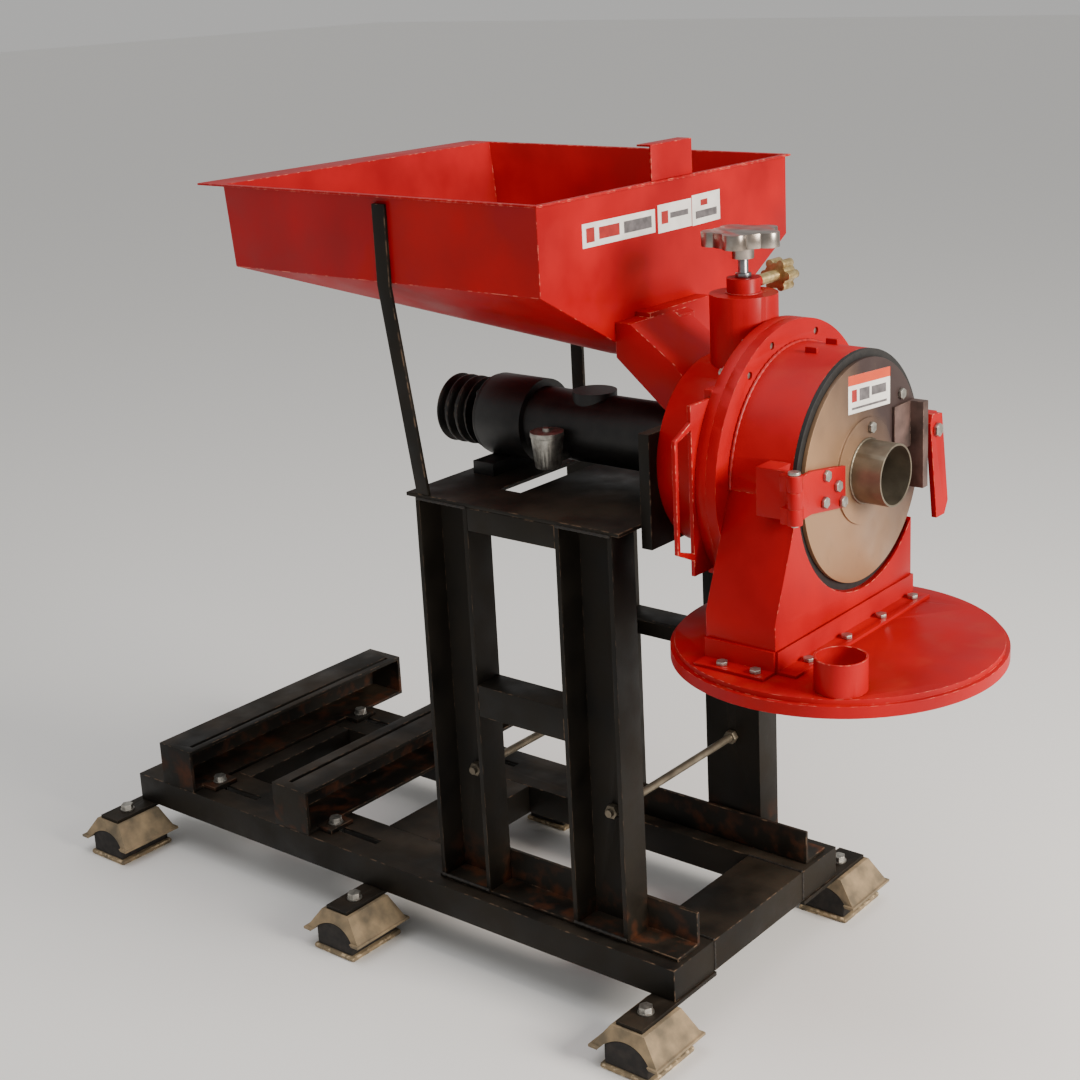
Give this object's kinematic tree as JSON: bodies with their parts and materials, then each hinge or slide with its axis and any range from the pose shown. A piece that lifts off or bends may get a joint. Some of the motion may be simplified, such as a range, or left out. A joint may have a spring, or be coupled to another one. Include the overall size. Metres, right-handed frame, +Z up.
{
  "type": "hammer mill",
  "caption": "Hammer mill on a welded channel stand: sheet steel hopper, horizontal rotor in a round casing with a hinged door, discharge chute over a round tray, slide rails for a motor.",
  "frame": {"origin": "on the floor, under the middle of the machine's bounding box", "axes": "+X along the shaft towards the door, +Y across the machine away from the door's hinge, +Z up"},
  "size_m": [1.621, 0.706, 1.238],
  "materials": {
    "red_paint": "gloss enamel over sheet steel",
    "frame_paint": "dusty black enamel over rolled steel",
    "foot_iron": "dusty cast iron",
    "foot_rubber": "moulded rubber",
    "bare_steel": "oiled bare steel",
    "zinc_steel": "zinc plated",
    "machined_steel": "turned",
    "hard_steel": "hardened",
    "black_iron": "black painted casting",
    "brass": "turned",
    "chrome": "worn plating",
    "gasket_rubber": "sheet rubber"
  },
  "bodies": {
    "mill": {"base_rails": "frame_paint", "base_cross_channels": "frame_paint", "foot_lugs": "frame_paint", "foot_castings": "foot_iron", "foot_rubbers": "foot_rubber", "foot_bases": "foot_iron", "post_seat_angles": "frame_paint", "posts_near": "frame_paint", "posts_far": "frame_paint", "stand_cross_angles": "frame_paint", "stand_table": "frame_paint", "tie_rods": "bare_steel", "motor_rail_rear": "frame_paint", "motor_rail_front": "frame_paint", "base_bolts": "zinc_steel", "bearing_housing": "black_iron", "bearing_outer_rings": "hard_steel", "bearing_cover": "black_iron", "grease_cup": "zinc_steel", "mounting_plate": "frame_paint", "rear_casing": "red_paint", "front_casing": "red_paint", "casing_bolts": "zinc_steel", "pivot_pins": "zinc_steel", "door_gasket": "gasket_rubber", "discharge_chute": "red_paint", "chute_flanges": "red_paint", "tray_disc": "red_paint", "tray_collar": "red_paint", "screen_ring": "bare_steel", "regulator_tower": "red_paint", "hopper_bin": "red_paint", "feed_throat": "red_paint", "hopper_struts": "frame_paint"},
    "rotor": {"main_shaft": "machined_steel", "drive_pulley": "black_iron", "bearing_inner_rings": "hard_steel", "rotor_nut": "machined_steel", "rotor_discs": "machined_steel", "hammer_pins": "hard_steel", "rotor_spacers": "machined_steel", "feed_impeller": "hard_steel"},
    "hammer_1": {"hammer_1": "hard_steel"},
    "hammer_2": {"hammer_2": "hard_steel"},
    "hammer_3": {"hammer_3": "hard_steel"},
    "hammer_4": {"hammer_4": "hard_steel"},
    "door": {"door_disc": "bare_steel", "air_inlet_pipe": "bare_steel", "door_hinge_strap": "red_paint", "door_latch_bar": "bare_steel", "door_bolts": "zinc_steel"},
    "latch": {"latch_lever": "red_paint"},
    "gate": {"feed_gate": "red_paint"},
    "regulator_wheel": {"regulator_stem": "machined_steel", "regulator_handwheel": "chrome"},
    "plug": {"valve_plug": "machined_steel"},
    "knob": {"lock_knob": "brass"},
    "side_slide": {"side_slide_plate": "red_paint"},
    "cup_lid": {"grease_cup_lid": "zinc_steel"}
  },
  "joints": [
    {"name": "rotor_spin", "type": "hinge", "parent": "mill", "child": "rotor", "pos_m": [0.15, -0.033, 0.8263], "axis": [1, 0, 0], "continuous": true},
    {"name": "hammer_1_swing", "type": "hinge", "parent": "rotor", "child": "hammer_1", "pos_m": [0.5135, 0.02215, 0.88145], "axis": [1, 0, 0], "range_deg": [-11, 281]},
    {"name": "hammer_2_swing", "type": "hinge", "parent": "rotor", "child": "hammer_2", "pos_m": [0.5415, -0.08815, 0.88145], "axis": [1, 0, 0], "range_deg": [-281, 11]},
    {"name": "hammer_3_swing", "type": "hinge", "parent": "rotor", "child": "hammer_3", "pos_m": [0.5135, -0.08815, 0.77115], "axis": [1, 0, 0], "range_deg": [-191, 101]},
    {"name": "hammer_4_swing", "type": "hinge", "parent": "rotor", "child": "hammer_4", "pos_m": [0.5415, 0.02215, 0.77115], "axis": [1, 0, 0], "range_deg": [-101, 191]},
    {"name": "door_swing", "type": "hinge", "parent": "mill", "child": "door", "pos_m": [0.6055, -0.231, 0.8403], "axis": [0, 0, -1], "range_deg": [0, 110]},
    {"name": "latch_swing", "type": "hinge", "parent": "mill", "child": "latch", "pos_m": [0.6018, 0.138, 0.845], "axis": [1, 0, 0], "range_deg": [0, 80]},
    {"name": "feed_gate_lift", "type": "slide", "parent": "mill", "child": "gate", "axis": [0, 0, 1], "range_m": [0, 0.06]},
    {"name": "regulator_turn", "type": "hinge", "parent": "mill", "child": "regulator_wheel", "pos_m": [0.4035, -0.033, 1.12], "axis": [0, 0, 1], "range_deg": [0, 1800]},
    {"name": "plug_travel", "type": "slide", "parent": "mill", "child": "plug", "axis": [0, 0, 1], "range_m": [0, 0.0401]},
    {"name": "lock_knob_turn", "type": "hinge", "parent": "mill", "child": "knob", "pos_m": [0.4035, 0.02, 1.0605], "axis": [0, 1, 0], "range_deg": [0, 360]},
    {"name": "side_slide_pull", "type": "slide", "parent": "mill", "child": "side_slide", "axis": [0, -1, 0], "range_m": [0, 0.06]},
    {"name": "cup_lid_turn", "type": "hinge", "parent": "mill", "child": "cup_lid", "pos_m": [0.112, -0.115, 0.83], "axis": [0, 0, 1], "range_deg": [0, 720]}
  ],
  "couplings": [
    {"joint": "plug_travel", "follows": "regulator_turn", "m_per_rad": 0.0012732}
  ]
}
